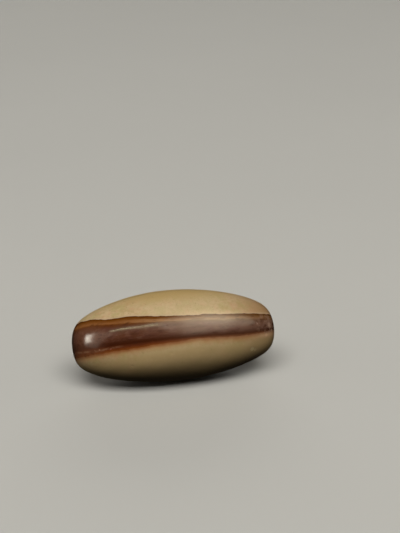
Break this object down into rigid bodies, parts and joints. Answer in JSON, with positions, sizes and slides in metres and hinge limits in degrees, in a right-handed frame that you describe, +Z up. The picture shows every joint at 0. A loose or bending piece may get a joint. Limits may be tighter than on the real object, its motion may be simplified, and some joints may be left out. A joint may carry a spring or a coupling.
{
  "type": "shiva lingam stone",
  "caption": "Long blunt-ended polished tan river stone with a dark red-brown band along it, lying on its side on a small worn flat.",
  "frame": {"origin": "on the surface that the stone rests on, below the middle of its box", "axes": "+X along the stone towards its slightly slimmer end, -Y towards the face that the picture shows, +Z up"},
  "size_m": [0.1, 0.0466, 0.0439],
  "materials": {
    "banded_stone": "hand polished to a satin gloss, tan with a rust-edged dark red-brown band through it"
  },
  "bodies": {
    "root": {"stone": "banded_stone"}
  },
  "joints": []
}
